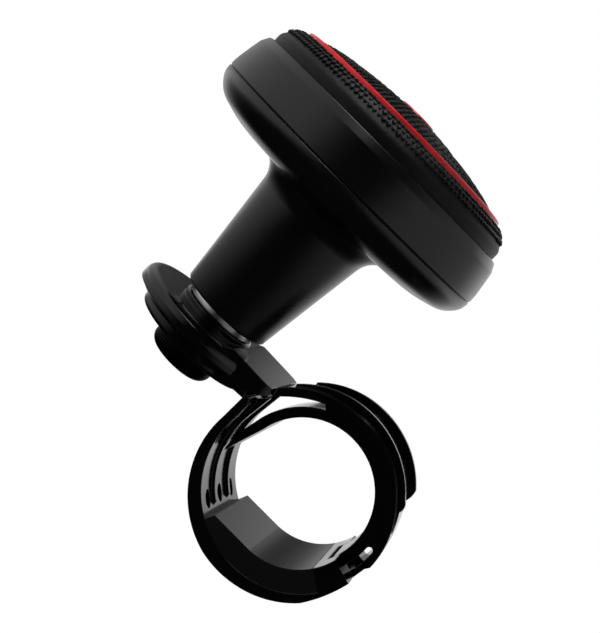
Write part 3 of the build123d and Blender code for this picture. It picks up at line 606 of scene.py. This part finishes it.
rays = add(sky, "ShaderNodeLightPath").outputs
direction = add(sky, "ShaderNodeTexCoord").outputs["Generated"]
parts = add(sky, "ShaderNodeSeparateXYZ", {"Vector": direction}).outputs
backdrop = product(sky, ramp(sky, parts["Y"], BACKDROP_Y, BACKDROP_WHITE),
                   ramp(sky, parts["X"], BACKDROP_X, 1.0))
left = ramp(sky, parts["X"], LEFT_SCREEN_X, LEFT_GREY)
right = ramp(sky, parts["X"], RIGHT_SCREEN_X, RIGHT_GREY)
sides = brighter(sky, left, right)
above = product(sky, ramp(sky, parts["Z"], OVERHEAD_Z, OVERHEAD_WHITE),
                ramp(sky, parts["X"], OVERHEAD_X, 1.0))
walls = brighter(sky, backdrop, sides)
lit = brighter(sky, brighter(sky, walls, above), STUDIO_DARK)
level = add(sky, "ShaderNodeMix", {"Factor": rays["Is Glossy Ray"], "A": PLAIN_LEVEL,
                                   "B": lit}).outputs["Result"]
white = brighter(sky, rays["Is Camera Ray"], rays["Is Transmission Ray"])
strength = add(sky, "ShaderNodeMix", {"Factor": white, "A": level, "B": 1.0}).outputs["Result"]
background = add(sky, "ShaderNodeBackground", {"Color": (1, 1, 1, 1), "Strength": strength})
add(sky, "ShaderNodeOutputWorld", {"Surface": background.outputs["Background"]})
print("studio: plain level", PLAIN_LEVEL, "backdrop", BACKDROP_WHITE, "sides", LEFT_GREY, RIGHT_GREY)

# %% [markdown]
# A pale floor lies well below the clamp. The camera sees it almost white, and it keeps a
# soft shadow of the knob. In reflections it is white only behind the knob and grey far out to
# both sides, like the walls that it runs into: one that shone from below would wash out the black.

# %% Floor
FLOOR_DROP_MM = 90
FLOOR_HALF = 2.0
PAPER_FIBRE_MM = 3
UNDER_KNOB_WHITE = 0.8
SHADOW_REACH = (0.05, 0.35)
BEHIND_Y = (0.1, 0.6)
LEFT_X = (-0.2, -0.7)
RIGHT_X = (0.2, 0.7)
floor_z = cad_box[0].z - FLOOR_DROP_MM * MM
corners = [(x, y, floor_z) for x, y in ((-1, -1), (1, -1), (1, 1), (-1, 1))]
floor_mesh = bpy.data.meshes.new("floor")
floor_mesh.from_pydata([(x * FLOOR_HALF, y * FLOOR_HALF, z) for x, y, z in corners], [], [(0, 1, 2, 3)])
floor = bpy.data.objects.new("floor", floor_mesh)
bpy.context.scene.collection.objects.link(floor)
paper, paper_tree, paper_shader, paper_place = new_material("Paper studio white")
fibre = add(paper_tree, "ShaderNodeTexNoise",
            {"Vector": paper_place, "Scale": per_metre(PAPER_FIBRE_MM), "Detail": 3.0})
paper_tint = add(paper_tree, "ShaderNodeMix", {"Factor": fibre.outputs["Fac"], "A": hex_colour("F2F2F2"),
                                               "B": hex_colour("FAFAFA")}, data_type="RGBA")
paper_tree.links.new(paper_tint.outputs["Result"], paper_shader.inputs["Base Color"])
paper_shader.inputs["Roughness"].default_value = 0.9
seen = add(paper_tree, "ShaderNodeLightPath").outputs
glow = add(paper_tree, "ShaderNodeEmission", {"Color": (1, 1, 1, 1), "Strength": 1.0})
reach = add(paper_tree, "ShaderNodeVectorMath", {0: paper_place}, operation="LENGTH").outputs["Value"]
plain = brighter(paper_tree, UNDER_KNOB_WHITE, ramp(paper_tree, reach, SHADOW_REACH, 1.0))
share = add(paper_tree, "ShaderNodeMath", {0: seen["Is Camera Ray"], 1: plain}, operation="MULTIPLY")
by_eye = add(paper_tree, "ShaderNodeMixShader", {0: share.outputs["Value"], 1: paper_shader.outputs["BSDF"],
                                                 2: glow.outputs["Emission"]})
spot = add(paper_tree, "ShaderNodeSeparateXYZ", {"Vector": paper_place}).outputs
behind = ramp(paper_tree, spot["Y"], BEHIND_Y, BACKDROP_WHITE)
beside = brighter(paper_tree, ramp(paper_tree, spot["X"], LEFT_X, LEFT_GREY),
                  ramp(paper_tree, spot["X"], RIGHT_X, RIGHT_GREY))
mirrored = brighter(paper_tree, brighter(paper_tree, behind, beside), STUDIO_DARK)
far_glow = add(paper_tree, "ShaderNodeEmission", {"Color": (1, 1, 1, 1), "Strength": mirrored})
mixed = add(paper_tree, "ShaderNodeMixShader", {0: seen["Is Glossy Ray"], 1: by_eye.outputs["Shader"],
                                                2: far_glow.outputs["Emission"]})
paper_output = next(n for n in paper_tree.nodes if n.type == "OUTPUT_MATERIAL")
paper_tree.links.new(mixed.outputs["Shader"], paper_output.inputs["Surface"])
floor.data.materials.append(paper)
print("floor at", round(floor_z / MM, 1), "mm")

# %% [markdown]
# Two large soft boxes give the plain light a direction, so that the ribs and the lining have
# a light side and a dark one. They are kept out of the reflections, which the studio makes.

# %% Soft boxes
def soft_box(name, place_mm, size_mm, watts):
    """A square area light that looks at the middle of the knob."""
    data = bpy.data.lights.new(name, "AREA")
    data.shape = "SQUARE"
    data.size = size_mm * MM
    data.energy = watts
    light = bpy.data.objects.new(name, data)
    middle = (cad_box[0] + cad_box[1]) / 2
    light.location = Vector(place_mm) * MM
    light.rotation_euler = (middle - light.location).to_track_quat("-Z", "Y").to_euler()
    light.visible_glossy = False
    bpy.context.scene.collection.objects.link(light)
    return light


key_light = soft_box("key", (-420, -160, 260), 300, 2.0)
rim_light = soft_box("rim", (260, 380, 200), 260, 1.0)
print("lights:", key_light.name, rim_light.name)

bpy.context.scene.view_settings.view_transform = "Standard"
